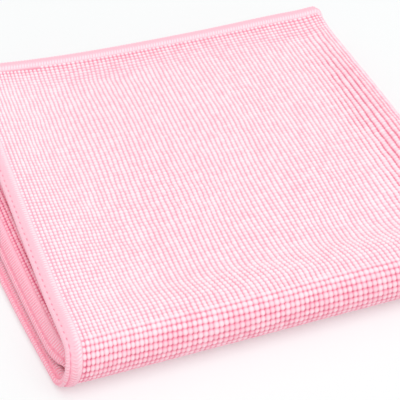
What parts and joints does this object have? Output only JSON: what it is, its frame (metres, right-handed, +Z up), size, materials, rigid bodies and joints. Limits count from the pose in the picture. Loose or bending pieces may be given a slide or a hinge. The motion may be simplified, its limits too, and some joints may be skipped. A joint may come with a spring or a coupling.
{
  "type": "folded ribbed cleaning cloth",
  "caption": "Square ribbed knit cleaning cloth with an overlocked hem, folded in quarters and lying flat.",
  "frame": {"origin": "under the middle of the folded cloth, on the surface it lies on", "axes": "+Z up through the leaves, +Y from the front fold to the back hem along the ribs, +X from the left hem to the side fold"},
  "size_m": [0.1644, 0.155, 0.0208],
  "materials": {
    "pink_knit": "matte ribbed knit of soft microfibre yarn"
  },
  "bodies": {
    "root": {"folded_cloth": "pink_knit"}
  },
  "joints": []
}
